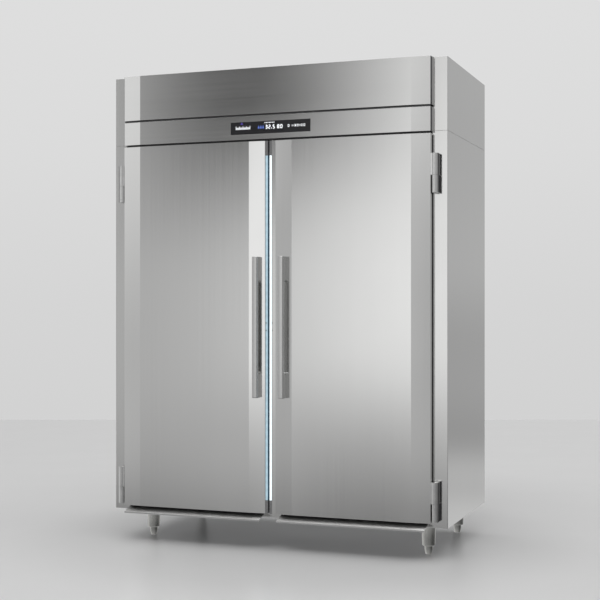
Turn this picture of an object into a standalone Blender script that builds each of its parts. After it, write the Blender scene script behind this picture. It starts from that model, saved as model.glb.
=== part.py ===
"""Two-section proofing cabinet, upright, resting on four adjustable feet."""
import math

import bmesh
import bpy
from mathutils import Matrix, Vector

for old in list(bpy.data.objects):
    bpy.data.objects.remove(old, do_unlink=True)

# Driving dimensions, metres. Y is counted from the face of the stiles, towards the rear.
FACE_Y = -0.3315
SHEET = 0.0012
GAP = 0.0003
HALF_W = 0.780
DEPTH = 0.740
BODY_Z0 = 0.140
SEAM_Z, SEAM_HALF = 1.8012, 0.0004
TOP_Z = 2.110
OPEN_X = 0.690
OPEN_Z0, OPEN_Z1 = 0.195, 1.750
LINER_Y0, LINER_Y1 = 0.0015, 0.680

DOOR_Z0, DOOR_Z1 = 0.163, 1.7885
DOOR_OUT = 0.7155
EDGE_IN = {1: -0.0050, -1: 0.0127}
SKIN_IN = {1: 0.0066, -1: 0.0255}
CREASE = {1: 0.0233, -1: 0.0265}
LENS_END = {1: 0.0053, -1: 0.0240}
FRONT_Y, WING_Y = -0.042, -0.0365
WING_OUT, WING_IN = 0.633, 0.100
SKIN_BACK_Y, FLANGE_Y0, FLANGE_Y1 = -0.0135, -0.0132, -0.0120
PLUG_X0, PLUG_X1, PLUG_Z0, PLUG_Z1 = 0.047, 0.679, 0.206, 1.739
PLUG_Y, DRAFT = 0.030, 0.009
LENS_Z0, LENS_Z1 = 0.221, 1.7245

TRIM_X, TRIM_WING = 0.715, 0.633
FASCIA_Z0, FASCIA_Z1 = 1.7975, 1.8995
HEADER_Z0 = 1.9085
PANEL_X, PANEL_Z0, PANEL_Z1 = 0.1867, 1.8205, 1.8745

HINGE_X, HINGE_Y, KNUCKLE_R, HINGE_HALF = 0.7327, -0.0252, 0.0160, 0.0142
HINGE_LOW, HINGE_HIGH = 0.170, 1.540
HINGE_H, HINGE_SPLIT = 0.165, 0.074
PIN_R, PIN_REACH = 0.005, 0.045

HANDLE_X0, HANDLE_X1 = 0.0480, 0.0725
HANDLE_Y0, HANDLE_Y1 = -0.0770, -0.0650
HANDLE_Z0, HANDLE_Z1, HANDLE_WEB = 0.668, 1.283, 0.107
CHANNEL_WALL, CHANNEL_DEEP = 0.0045, 0.0022

LEG_X, LEG_Y0, LEG_Y1 = 0.660, 0.148, 0.688
SOCKET_R, FOOT_R, FOLD_R = 0.0285, 0.0185, 0.0020

FAN_Y = 0.330
DUCT_Z, DUCT_Y, DUCT_X = 1.670, 0.632, 0.688
BOILER = (0.300, 0.350)
RACK_Y0, RACK_Y1 = 0.075, 0.615
RACK_SPINE, LEDGE = 0.675, 0.030
LEVELS, LEVEL_Z, PITCH = 15, 0.290, 0.090


def material(name, colour, roughness, metallic=0.0, glow=None):
    mat = bpy.data.materials.new(name)
    mat.use_nodes = True
    shader = mat.node_tree.nodes["Principled BSDF"]
    shader.inputs["Base Color"].default_value = (*colour, 1.0)
    shader.inputs["Roughness"].default_value = roughness
    shader.inputs["Metallic"].default_value = metallic
    if glow:
        shader.inputs["Emission Color"].default_value = (*glow, 1.0)
        shader.inputs["Emission Strength"].default_value = 1.0
    mat.diffuse_color = (*colour, 1.0)
    return mat


STEEL = material("stainless_skin", (0.60, 0.60, 0.59), 0.32, 1.0)
BODY_STEEL = material("stainless_body", (0.52, 0.52, 0.51), 0.38, 1.0)
LINER = material("stainless_liner", (0.66, 0.66, 0.65), 0.30, 1.0)
DUCT = material("stainless_duct", (0.58, 0.59, 0.59), 0.36, 1.0)
RACK = material("rack_steel", (0.62, 0.62, 0.61), 0.34, 1.0)
HINGE = material("hinge_cast", (0.46, 0.46, 0.45), 0.36, 1.0)
LEG = material("leg_steel", (0.44, 0.44, 0.43), 0.40, 1.0)
PIN = material("pin_steel", (0.36, 0.36, 0.37), 0.30, 1.0)
FOAM = material("foam", (0.78, 0.70, 0.42), 0.90)
GASKET = material("gasket_rubber", (0.16, 0.16, 0.17), 0.75)
PROFILE = material("edge_plastic", (0.20, 0.20, 0.21), 0.45)
LENS = material("light_lens", (0.80, 0.92, 0.97), 0.25, 0.0, (0.75, 0.92, 1.0))
GLASS = material("touch_panel", (0.012, 0.012, 0.014), 0.12)
MOTOR = material("motor_paint", (0.09, 0.10, 0.11), 0.55)
WHEEL = material("fan_aluminium", (0.70, 0.71, 0.72), 0.35, 1.0)
HEATER = material("heater_sheath", (0.20, 0.17, 0.15), 0.45, 1.0)
BOILER_STEEL = material("boiler_steel", (0.55, 0.55, 0.54), 0.35, 1.0)


def solid(name, verts, faces, mat):
    """One closed body from vertices and faces, in stile coordinates, facing outwards."""
    mesh = bpy.data.meshes.new(name)
    mesh.from_pydata([tuple(v) for v in verts], [], faces)
    bm = bmesh.new()
    bm.from_mesh(mesh)
    bmesh.ops.recalc_face_normals(bm, faces=bm.faces)
    bm.to_mesh(mesh)
    bm.free()
    ob = bpy.data.objects.new(name, mesh)
    bpy.context.scene.collection.objects.link(ob)
    if mat:
        mesh.materials.append(mat)
    ob.location = (0.0, FACE_Y, 0.0)
    return ob


def loft(name, loops, mat):
    """Closed loops of equal length joined in turn, with the first and last capped."""
    n = len(loops[0])
    verts = [p for loop in loops for p in loop]
    faces = [list(range(n)), list(range(len(verts) - n, len(verts)))]
    for k in range(len(loops) - 1):
        for i in range(n):
            j = (i + 1) % n
            faces.append([k * n + i, k * n + j, (k + 1) * n + j, (k + 1) * n + i])
    return solid(name, verts, faces, mat)


def prism(name, outline, lo, hi, axis, mat):
    """An outline extruded along X, Y or Z; its two coordinates are the other axes in order."""
    place = {
        "X": lambda a, b, c: (c, a, b),
        "Y": lambda a, b, c: (a, c, b),
        "Z": lambda a, b, c: (a, b, c),
    }[axis]
    return loft(name, [[place(a, b, c) for a, b in outline] for c in (lo, hi)], mat)


def box(name, x, y, z, mat):
    rect = [(x[0], y[0]), (x[1], y[0]), (x[1], y[1]), (x[0], y[1])]
    return prism(name, rect, z[0], z[1], "Z", mat)


def rect_loop(x, z, y):
    return [(x[0], y, z[0]), (x[1], y, z[0]), (x[1], y, z[1]), (x[0], y, z[1])]


def arc(cx, cy, r, start, end, steps):
    turn = [math.radians(start + (end - start) * i / steps) for i in range(steps + 1)]
    return [(cx + r * math.cos(t), cy + r * math.sin(t)) for t in turn]


def lathe(name, profile, centre, steps, mat):
    """A profile of (radius, z) turned about the vertical through centre; radius 0 at both ends."""
    verts, rings = [], []
    for r, z in profile:
        if r == 0.0:
            rings.append([len(verts)])
            verts.append((centre[0], centre[1], z))
            continue
        rings.append(list(range(len(verts), len(verts) + steps)))
        for i in range(steps):
            t = 2.0 * math.pi * i / steps
            verts.append((centre[0] + r * math.cos(t), centre[1] + r * math.sin(t), z))
    faces = []
    for a, b in zip(rings, rings[1:]):
        for i in range(steps):
            j = (i + 1) % steps
            if len(a) == 1:
                faces.append([a[0], b[i], b[j]])
            elif len(b) == 1:
                faces.append([a[i], a[j], b[0]])
            else:
                faces.append([a[i], a[j], b[j], b[i]])
    return solid(name, verts, faces, mat)


def sheet(path, t):
    """The outline of a bent sheet: the path and its mitred offset to the left by t."""
    off = []
    for i, p in enumerate(path):
        here = Vector(p)
        before = (here - Vector(path[i - 1])).normalized() if i else None
        after = (Vector(path[i + 1]) - here).normalized() if i + 1 < len(path) else None
        sides = [Vector((-d.y, d.x)) for d in (before, after) if d is not None]
        mid = sum(sides, Vector((0.0, 0.0))).normalized()
        off.append(tuple(here + mid * (t / mid.dot(sides[0]))))
    return list(path) + off[::-1]


def tube(name, path, r, steps, mat):
    """A round rod along a path of points, capped at both ends."""
    pts = [Vector(p) for p in path]
    loops = []
    normal = None
    for i, p in enumerate(pts):
        into = (p - pts[i - 1]).normalized() if i else (pts[1] - p).normalized()
        out = (pts[i + 1] - p).normalized() if i + 1 < len(pts) else into
        along = (into + out).normalized()
        if normal is None:
            normal = along.cross(Vector((0.3, 0.5, 0.81))).normalized()
        normal = (normal - along * normal.dot(along)).normalized()
        side = along.cross(normal)
        turn = [2.0 * math.pi * k / steps for k in range(steps)]
        loops.append([p + (normal * math.cos(t) + side * math.sin(t)) * r for t in turn])
    return loft(name, loops, mat)


def tray(name, outline, z0, z1, mat):
    """A folded sheet tray, open at the rear: outline runs from one rear edge round the front."""
    t = SHEET
    left, right = outline[0][0], outline[-1][0]
    sign = 1.0 if right > left else -1.0
    inner = []
    for i, (x, y) in enumerate(outline):
        if i in (0, 1):
            x = x + sign * t
        if i in (len(outline) - 2, len(outline) - 1):
            x = x - sign * t
        inner.append((x, y if i in (0, len(outline) - 1) else y + t))
    n = len(outline)
    verts = [(x, y, z) for x, y in outline for z in (z1, z0)]
    verts += [(x, y, z) for x, y in inner for z in (z1 - t, z0 + t)]
    ot, ob = list(range(0, 2 * n, 2)), list(range(1, 2 * n, 2))
    it, ib = [k + 2 * n for k in ot], [k + 2 * n for k in ob]
    faces = [ot, ob, it, ib]
    for i in range(n - 1):
        faces.append([ot[i], ot[i + 1], ob[i + 1], ob[i]])
        faces.append([it[i], it[i + 1], ib[i + 1], ib[i]])
    faces += [[ot[0], ob[0], ib[0], it[0]], [ot[-1], ob[-1], ib[-1], it[-1]]]
    faces += [[ot[0], ot[-1], it[-1], it[0]], [ob[0], ob[-1], ib[-1], ib[0]]]
    return solid(name, verts, faces, mat)


def boolean(target, tool, operation):
    mod = target.modifiers.new(tool.name, "BOOLEAN")
    mod.operation = operation
    mod.solver = "EXACT"
    mod.object = tool
    tool.hide_render = True
    tool.display_type = "WIRE"


def boxes(name, blocks):
    """Several separate blocks in one cutter."""
    verts, faces = [], []
    for x, y, z in blocks:
        k = len(verts)
        verts += [(x[i], y[j], z[m]) for i in (0, 1) for j in (0, 1) for m in (0, 1)]
        for f in ((0, 1, 3, 2), (4, 5, 7, 6), (0, 1, 5, 4), (2, 3, 7, 6), (0, 2, 6, 4), (1, 3, 7, 5)):
            faces.append([k + v for v in f])
    return solid(name, verts, faces, None)


def rod(name, x, y, r, z0, z1, steps=24):
    return prism(name, arc(x, y, r, 0, 360 - 360 / steps, steps - 1), z0, z1, "Z", None)


def smooth(ob, angle=35.0):
    """Smooth shading across a turned surface, with its corners kept sharp."""
    ob.data.shade_smooth()
    ob.data.set_sharp_from_angle(angle=math.radians(angle))


def pivot(ob, x, y, z):
    """Moves the origin of ob to a point in stile coordinates, leaving its surface in place."""
    ob.data.transform(Matrix.Translation((-x, -y, -z)))
    ob.location = (x, FACE_Y + y, z)
    for mod in ob.modifiers:
        if mod.type == "BOOLEAN":
            mod.object.data.transform(Matrix.Translation((-x, -y, -z)))
            mod.object.location = (x, FACE_Y + y, z)


def side(s):
    return "right" if s > 0 else "left"


def casing(name, s, z0, z1, mat):
    """Outer side sheet folded round the front corner into the stile beside the opening."""
    fold = arc(HALF_W - FOLD_R, FOLD_R, FOLD_R, -90, 0, 4)
    path = [(OPEN_X, 0.0)] + fold + [(HALF_W, DEPTH - SHEET - GAP)]
    outline = sheet([(s * x, y) for x, y in path], SHEET * s)
    return prism(name, outline, z0, z1, "Z", mat)


def lower_body():
    inside = HALF_W - SHEET - GAP
    for s in (1, -1):
        casing(f"{side(s)}_side_casing", s, BODY_Z0, SEAM_Z - SEAM_HALF, BODY_STEEL)
    rear_y = (DEPTH - SHEET, DEPTH)
    box("rear_casing", (-HALF_W, HALF_W), rear_y, (BODY_Z0, SEAM_Z - SEAM_HALF), BODY_STEEL)
    base_z = (BODY_Z0, BODY_Z0 + SHEET)
    base_y = (SHEET + GAP, DEPTH - SHEET - GAP)
    box("base_casing", (-inside, inside), base_y, base_z, BODY_STEEL)

    cavity_x = (-OPEN_X - SHEET - GAP, OPEN_X + SHEET + GAP)
    cavity_z = (OPEN_Z0 - SHEET - GAP, OPEN_Z1 + SHEET + GAP)
    outer_x, outer_z = (-inside, inside), (BODY_Z0 + SHEET + GAP, SEAM_Z - 0.0012)
    foam = loft(
        "foam_insulation",
        [
            rect_loop(cavity_x, cavity_z, LINER_Y1 + SHEET + GAP),
            rect_loop(cavity_x, cavity_z, base_y[0]),
            rect_loop(outer_x, outer_z, base_y[0]),
            rect_loop(outer_x, outer_z, base_y[1]),
        ],
        FOAM,
    )
    skin_x, skin_z = (-OPEN_X - SHEET, OPEN_X + SHEET), (OPEN_Z0 - SHEET, OPEN_Z1 + SHEET)
    liner = loft(
        "inner_liner",
        [
            rect_loop((-OPEN_X, OPEN_X), (OPEN_Z0, OPEN_Z1), LINER_Y1),
            rect_loop((-OPEN_X, OPEN_X), (OPEN_Z0, OPEN_Z1), LINER_Y0),
            rect_loop(skin_x, skin_z, LINER_Y0),
            rect_loop(skin_x, skin_z, LINER_Y1 + SHEET),
        ],
        LINER,
    )
    for ob, r in ((foam, 0.0125), (liner, 0.0130)):
        shaft = rod(f"cut_shaft_{ob.name}", 0.0, FAN_Y, r, 1.70, 1.85)
        pipe = rod(f"cut_pipe_{ob.name}", *BOILER, r, 1.70, 1.85)
        boolean(ob, shaft, "DIFFERENCE")
        boolean(ob, pipe, "DIFFERENCE")

    rail_x, rail_y = (-OPEN_X + GAP, OPEN_X - GAP), (0.0, SHEET)
    box("lower_front_rail", rail_x, rail_y, (BODY_Z0, OPEN_Z0), BODY_STEEL)
    box("upper_front_rail", rail_x, rail_y, (OPEN_Z1, SEAM_Z - SEAM_HALF), BODY_STEEL)
    post = [(-0.035, 0.060), (-0.035, 0.0), (0.035, 0.0), (0.035, 0.060)]
    post_z = (OPEN_Z0 + GAP, OPEN_Z1 - GAP)
    prism("centre_mullion", sheet(post, 0.0015), *post_z, "Z", BODY_STEEL)


def upper_housing():
    for s in (1, -1):
        casing(f"upper_{side(s)}_casing", s, SEAM_Z + SEAM_HALF, TOP_Z, BODY_STEEL)
    rear = box(
        "upper_rear_casing",
        (-HALF_W, HALF_W),
        (DEPTH - SHEET, DEPTH),
        (SEAM_Z + SEAM_HALF, TOP_Z),
        BODY_STEEL,
    )
    slots = []
    for x in (-0.45, 0.0, 0.45):
        for k in range(9):
            z = 1.865 + 0.022 * k
            slots.append(((x - 0.15, x + 0.15), (DEPTH - 0.01, DEPTH + 0.01), (z, z + 0.008)))
    boolean(rear, boxes("cut_vents", slots), "DIFFERENCE")
    inside = HALF_W - SHEET - GAP
    cover_y = (SHEET + GAP, DEPTH - SHEET - GAP)
    cover_z = (TOP_Z - 0.0025, TOP_Z - 0.0025 + SHEET)
    box("top_cover", (-inside, inside), cover_y, cover_z, BODY_STEEL)

    outline = [
        (-TRIM_X, -GAP),
        (-TRIM_X, WING_Y),
        (-TRIM_WING, FRONT_Y),
        (TRIM_WING, FRONT_Y),
        (TRIM_X, WING_Y),
        (TRIM_X, -GAP),
    ]
    tray("header_panel", outline, HEADER_Z0, TOP_Z, STEEL)
    fascia = tray("control_fascia", outline, FASCIA_Z0, FASCIA_Z1, STEEL)
    window = box(
        "cut_window",
        (-PANEL_X, PANEL_X),
        (FRONT_Y - 0.01, FRONT_Y + 0.01),
        (PANEL_Z0, PANEL_Z1),
        None,
    )
    boolean(fascia, window, "DIFFERENCE")
    bezel_y = FRONT_Y + SHEET + GAP
    x0, z0, z1 = PANEL_X - GAP, PANEL_Z0 + GAP, PANEL_Z1 - GAP
    x1, z2, z3 = PANEL_X + 0.008, PANEL_Z0 - 0.008, PANEL_Z1 + 0.008
    loft(
        "control_panel",
        [
            rect_loop((-x0, x0), (z0, z1), FRONT_Y - 0.0008),
            rect_loop((-x0, x0), (z0, z1), bezel_y),
            rect_loop((-x1, x1), (z2, z3), bezel_y),
            rect_loop((-x1, x1), (z2, z3), bezel_y + 0.012),
        ],
        GLASS,
    )


def machine():
    motor = lathe(
        "blower_motor",
        [
            (0.0, 1.906),
            (0.030, 1.906),
            (0.044, 1.898),
            (0.046, 1.890),
            (0.046, 1.818),
            (0.062, 1.814),
            (0.062, 1.802),
            (0.0068, 1.802),
            (0.0068, 1.868),
            (0.0, 1.868),
        ],
        (0.0, FAN_Y),
        40,
        MOTOR,
    )
    smooth(motor)
    wheel = lathe(
        "fan_wheel",
        [
            (0.0, 1.690),
            (0.016, 1.690),
            (0.020, 1.694),
            (0.020, 1.7245),
            (0.110, 1.7245),
            (0.110, 1.7265),
            (0.020, 1.7265),
            (0.016, 1.738),
            (0.006, 1.738),
            (0.006, 1.862),
            (0.0, 1.862),
        ],
        (0.0, FAN_Y),
        48,
        WHEEL,
    )
    blades = []
    for k in range(12):
        turn = Matrix.Rotation(2.0 * math.pi * k / 12, 4, "Z")
        for r, a in ((0.052, -0.20), (0.082, 0.0), (0.107, 0.28)):
            for t in (-0.0008, 0.0008):
                blades.append(turn @ Vector((r * math.cos(a) - t * 0.5, r * math.sin(a) + t, 0.0)))
    verts, faces = [], []
    for k in range(12):
        p = blades[k * 6 : k * 6 + 6]
        ring = [p[0], p[2], p[4], p[5], p[3], p[1]]
        base = len(verts)
        for z in (1.6925, 1.7256):
            verts += [(v.x, v.y + FAN_Y, z) for v in ring]
        faces.append([base + i for i in range(6)])
        faces.append([base + 6 + i for i in range(6)])
        for i in range(6):
            j = (i + 1) % 6
            faces.append([base + i, base + j, base + 6 + j, base + 6 + i])
    vanes = solid("join_vanes", verts, faces, None)
    boolean(wheel, vanes, "UNION")
    smooth(wheel)
    pivot(wheel, 0.0, FAN_Y, 1.7265)

    rows = [0.495, 0.525, 0.555, 0.585]
    reach, z = 0.270, 1.712
    path = [(-reach, rows[0], 1.7485), (-reach, rows[0], z + 0.010)]
    path += [(-reach + 0.003, rows[0], z + 0.003), (-reach + 0.010, rows[0], z)]
    for i, y in enumerate(rows):
        s = 1 if i % 2 == 0 else -1
        path.append((s * (reach - 0.02), y, z))
        if i + 1 < len(rows):
            bend = arc(s * (reach - 0.02), y + 0.015, 0.015, -90, 90, 8)[1:]
            if s < 0:
                bend = [(2 * s * (reach - 0.02) - x, q) for x, q in bend]
            path += [(x, q, z) for x, q in bend]
    path[-1] = (-reach + 0.010, rows[-1], z)
    path += [(-reach + 0.003, rows[-1], z + 0.003), (-reach, rows[-1], z + 0.010)]
    path.append((-reach, rows[-1], 1.7485))
    smooth(tube("heater_element", path, 0.0042, 12, HEATER), 50.0)

    bx, by = BOILER
    boiler = box(
        "steam_boiler", (bx - 0.11, bx + 0.11), (by - 0.09, by + 0.09), (1.802, 1.945), BOILER_STEEL
    )
    pipe = rod("join_pipe", bx, by, 0.0105, 1.715, 1.83)
    bore = rod("cut_pipe_bore", bx, by, 0.0075, 1.70, 1.825)
    boolean(boiler, pipe, "UNION")
    boolean(boiler, bore, "DIFFERENCE")


def chamber():
    path = [(0.066, 1.7490), (0.066, DUCT_Z), (DUCT_Y, DUCT_Z), (DUCT_Y, 0.235), (0.6790, 0.235)]
    panel = prism("air_duct_panel", sheet(path, SHEET), -DUCT_X, DUCT_X, "X", DUCT)
    slots = []
    for k in range(11):
        z = 0.330 + 0.122 * k
        for x in (-0.515, -0.175, 0.175, 0.515):
            slots.append(((x - 0.11, x + 0.11), (DUCT_Y - 0.01, DUCT_Y + 0.01), (z, z + 0.010)))
    for k in range(-5, 6):
        y = FAN_Y + 0.018 * k
        half = math.sqrt(0.105**2 - (0.018 * k) ** 2)
        slots.append(((-half, half), (y - 0.005, y + 0.005), (DUCT_Z - 0.01, DUCT_Z + 0.01)))
    boolean(panel, boxes("cut_slots", slots), "DIFFERENCE")

    t = 0.0015
    low, high = 0.215, 1.650
    for s in (1, -1):
        wall, spine, tip = OPEN_X - 0.001, RACK_SPINE, RACK_SPINE - t - LEDGE
        outline = [(wall, low), (wall, low + t), (spine, low + t), (spine, high - t)]
        outline += [(wall, high - t), (wall, high), (spine - t, high)]
        for k in reversed(range(LEVELS)):
            z = LEVEL_Z + k * PITCH
            outline += [(spine - t, z + t), (tip, z + t), (tip, z), (spine - t, z)]
        outline += [(spine - t, low)]
        outline = [(s * x, z) for x, z in outline]
        prism(f"{side(s)}_pan_rack", outline, RACK_Y0, RACK_Y1, "Y", RACK)

    half, foot = 0.0008, 0.030
    low = OPEN_Z0 + 0.0005
    right_edge = [(foot, low), (foot, low + t), (half, low + t)]
    for k in range(LEVELS):
        z = LEVEL_Z + k * PITCH
        right_edge += [(half, z), (half + LEDGE, z), (half + LEDGE, z + t), (half, z + t)]
    right_edge += [(half, high)]
    outline = right_edge + [(-x, z) for x, z in reversed(right_edge)]
    prism("centre_pan_rack", outline, RACK_Y0, RACK_Y1, "Y", RACK)


def legs():
    spots = {
        "front_left": (-LEG_X, LEG_Y0),
        "front_right": (LEG_X, LEG_Y0),
        "rear_left": (-LEG_X, LEG_Y1),
        "rear_right": (LEG_X, LEG_Y1),
    }
    plate_z = (BODY_Z0 - GAP - 0.004, BODY_Z0 - GAP)
    for name, (x, y) in spots.items():
        socket = lathe(
            f"leg_socket_{name}",
            [
                (0.0, 0.1385),
                (0.0300, 0.1385),
                (SOCKET_R + 0.0025, 0.130),
                (SOCKET_R, 0.040),
                (SOCKET_R - 0.0025, 0.037),
                (FOOT_R + 0.0006, 0.037),
                (FOOT_R + 0.0006, 0.062),
                (0.0086, 0.064),
                (0.0086, 0.128),
                (0.0, 0.128),
            ],
            (x, y),
            40,
            LEG,
        )
        half = 0.042
        plate = box(f"join_plate_{name}", (x - half, x + half), (y - half, y + half), plate_z, None)
        boolean(socket, plate, "UNION")
        smooth(socket)
        foot = lathe(
            f"foot_{name}",
            [
                (0.0, 0.0),
                (0.0125, 0.0),
                (0.0140, 0.0015),
                (FOOT_R, 0.0215),
                (FOOT_R, 0.045),
                (0.0080, 0.047),
                (0.0080, 0.108),
                (0.0, 0.108),
            ],
            (x, y),
            40,
            LEG,
        )
        smooth(foot)
        pivot(foot, x, y, 0.0)


def drip_rails():
    outline = [
        (-GAP, 0.1440),
        (-0.0018, 0.1440),
        (-0.0018, 0.1585),
        (-0.0700, 0.1378),
        (-0.0700, 0.1325),
        (-0.0715, 0.1325),
        (-0.0715, 0.1392),
        (-GAP, 0.1608),
    ]
    for s in (1, -1):
        prism(f"{side(s)}_drip_rail", outline, s * 0.040, s * 0.698, "X", STEEL)


def hinge(s, name, z0):
    """Frame base with the lower knuckle, door leaf with the upper one, and the pin in both."""
    split, z1 = z0 + HINGE_SPLIT, z0 + HINGE_H
    cx, cy = s * HINGE_X, HINGE_Y
    flat = math.degrees(math.acos(HINGE_HALF / KNUCKLE_R))
    nose = arc(cx, cy, KNUCKLE_R, 180 + flat, 360 - flat, 14)
    d = [(cx + HINGE_HALF, -GAP), (cx - HINGE_HALF, -GAP)] + nose
    base = prism(f"{name}_hinge_base", d, z0, split - 0.0004, "Z", HINGE)
    plate = box(
        f"join_plate_{name}",
        (cx - HINGE_HALF + 0.0012, cx + HINGE_HALF - 0.0012),
        (-0.0047, -GAP - 0.0001),
        (z0 + 0.004, z1),
        None,
    )
    bore = rod(f"cut_low_{name}", cx, cy, PIN_R + GAP, split - PIN_REACH - 0.001, split + 0.01)
    boolean(base, plate, "UNION")
    boolean(base, bore, "DIFFERENCE")
    smooth(base, 25.0)

    strap_x, strap_y = DOOR_OUT + GAP - HINGE_X, -0.0125
    start = 180 + math.degrees(math.asin(-strap_y / KNUCKLE_R))
    turned = arc(0.0, 0.0, KNUCKLE_R, start, 360 - flat, 14)
    turned += arc(0.0, 0.0, KNUCKLE_R, flat, 180 - flat, 14)
    outline = [(strap_x, 0.011), (strap_x, strap_y)] + turned
    outline += [(-HINGE_HALF, 0.011)]
    outline = [(cx + s * x, cy + y) for x, y in outline]
    leaf = prism(f"{name}_hinge_leaf", outline, split + 0.0004, z1, "Z", HINGE)
    bore = rod(f"cut_high_{name}", cx, cy, PIN_R + GAP, split - 0.01, split + PIN_REACH + 0.001)
    boolean(leaf, bore, "DIFFERENCE")
    smooth(leaf, 25.0)
    pivot(leaf, cx, cy, 0.0)
    reach = PIN_REACH - 0.001
    lathe_profile = [(0.0, split - reach), (PIN_R, split - reach), (PIN_R, split + reach)]
    pin = lathe(f"{name}_hinge_pin", lathe_profile + [(0.0, split + reach)], (cx, cy), 24, PIN)
    smooth(pin)


def wing_y(s, x):
    return FRONT_Y + (WING_Y - FRONT_Y) * (WING_IN - x) / (WING_IN - CREASE[s])


def door(s):
    """One insulated door, modelled closed, with its origin on the hinge axis."""
    name = f"{side(s)}_door"

    def flip(points):
        return [(s * x, y) for x, y in points]

    def span(a, b):
        return (s * a, s * b)

    parts = []
    skin_in, edge_in, lens_end = SKIN_IN[s], EDGE_IN[s], LENS_END[s]
    skin = [
        (skin_in, SKIN_BACK_Y),
        (skin_in, WING_Y),
        (CREASE[s], WING_Y),
        (WING_IN, FRONT_Y),
        (WING_OUT, FRONT_Y),
        (DOOR_OUT, WING_Y),
        (DOOR_OUT, SKIN_BACK_Y),
    ]
    parts.append(tray(f"{name}_skin", flip(skin), DOOR_Z0, DOOR_Z1, STEEL))

    in_x, in_z = span(PLUG_X0, PLUG_X1), (PLUG_Z0, PLUG_Z1)
    tip_x = span(PLUG_X0 + DRAFT, PLUG_X1 - DRAFT)
    tip_z = (PLUG_Z0 + DRAFT, PLUG_Z1 - DRAFT)

    def inset(x, z, t):
        return (x[0] + s * t, x[1] - s * t), (z[0] + t, z[1] - t)

    flange_x = span(edge_in + 0.0005, DOOR_OUT - 0.0005)
    flange_z = (DOOR_Z0 + 0.0005, DOOR_Z1 - 0.0005)
    parts.append(
        loft(
            f"{name}_inner_pan",
            [
                rect_loop(*inset(tip_x, tip_z, SHEET), PLUG_Y - SHEET),
                rect_loop(*inset(in_x, in_z, SHEET), FLANGE_Y0),
                rect_loop(flange_x, flange_z, FLANGE_Y0),
                rect_loop(flange_x, flange_z, FLANGE_Y1),
                rect_loop(in_x, in_z, FLANGE_Y1),
                rect_loop(tip_x, tip_z, PLUG_Y),
            ],
            LINER,
        )
    )

    m = SHEET + GAP
    filling = [
        (skin_in + m, SKIN_BACK_Y - GAP),
        (skin_in + m, WING_Y + m + 0.0001),
        (CREASE[s] + m, WING_Y + m + 0.0001),
        (WING_IN, FRONT_Y + m),
        (WING_OUT, FRONT_Y + m),
        (DOOR_OUT - m, WING_Y + m + 0.0001),
        (DOOR_OUT - m, SKIN_BACK_Y - GAP),
    ]
    core = prism(f"{name}_core", flip(filling), DOOR_Z0 + m, DOOR_Z1 - m, "Z", FOAM)
    plug = loft(
        f"join_plug_{name}",
        [
            rect_loop(*inset(in_x, in_z, SHEET + 0.0006), -0.022),
            rect_loop(*inset(in_x, in_z, SHEET + 0.0006), FLANGE_Y0),
            rect_loop(*inset(tip_x, tip_z, SHEET + 0.0006), PLUG_Y - SHEET - GAP),
        ],
        None,
    )
    boolean(core, plug, "UNION")
    parts.append(core)

    seal_x = span(max(0.0105, edge_in + 0.003), DOOR_OUT - 0.006)
    seal_z = (DOOR_Z0 + 0.006, DOOR_Z1 - 0.006)
    hole_x, hole_z = inset(seal_x, seal_z, 0.0155)
    mid_x, mid_z = inset(seal_x, seal_z, 0.0030)
    lip_x, lip_z = inset(seal_x, seal_z, 0.0125)
    y0, y1, y2 = FLANGE_Y1 + GAP, -0.0040, -GAP
    seal = [
        rect_loop(seal_x, seal_z, y0),
        rect_loop(seal_x, seal_z, y1),
        rect_loop(mid_x, mid_z, y2),
        rect_loop(lip_x, lip_z, y2),
        rect_loop(hole_x, hole_z, y1),
        rect_loop(hole_x, hole_z, y0),
    ]
    verts = [p for loop in seal for p in loop]
    faces = []
    for k in range(6):
        for i in range(4):
            a, b = k * 4, ((k + 1) % 6) * 4
            j = (i + 1) % 4
            faces.append([a + i, a + j, b + j, b + i])
    parts.append(solid(f"{name}_gasket", verts, faces, GASKET))

    c = 0.004
    grip = [
        (None, HANDLE_Z0),
        (HANDLE_Y0 + c, HANDLE_Z0),
        (HANDLE_Y0, HANDLE_Z0 + c),
        (HANDLE_Y0, HANDLE_Z1 - c),
        (HANDLE_Y0 + c, HANDLE_Z1),
        (None, HANDLE_Z1),
        (None, HANDLE_Z1 - HANDLE_WEB + 0.004),
        (HANDLE_Y1 + 0.004, HANDLE_Z1 - HANDLE_WEB),
        (HANDLE_Y1, HANDLE_Z1 - HANDLE_WEB - 0.004),
        (HANDLE_Y1, HANDLE_Z0 + HANDLE_WEB + 0.004),
        (HANDLE_Y1 + 0.004, HANDLE_Z0 + HANDLE_WEB),
        (None, HANDLE_Z0 + HANDLE_WEB - 0.004),
    ]
    loops = []
    for x in (HANDLE_X0, HANDLE_X1):
        back = wing_y(s, x) - GAP
        loops.append([(s * x, back if y is None else y, z) for y, z in grip])
    handle = loft(f"{name}_handle", loops, STEEL)
    channel = box(
        f"cut_channel_{name}",
        span(HANDLE_X0 + CHANNEL_WALL, HANDLE_X1 - CHANNEL_WALL),
        (HANDLE_Y1 - CHANNEL_DEEP, HANDLE_Y1 + 0.002),
        (HANDLE_Z0 + HANDLE_WEB + 0.006, HANDLE_Z1 - HANDLE_WEB - 0.006),
        None,
    )
    boolean(handle, channel, "DIFFERENCE")
    parts.append(handle)

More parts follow.
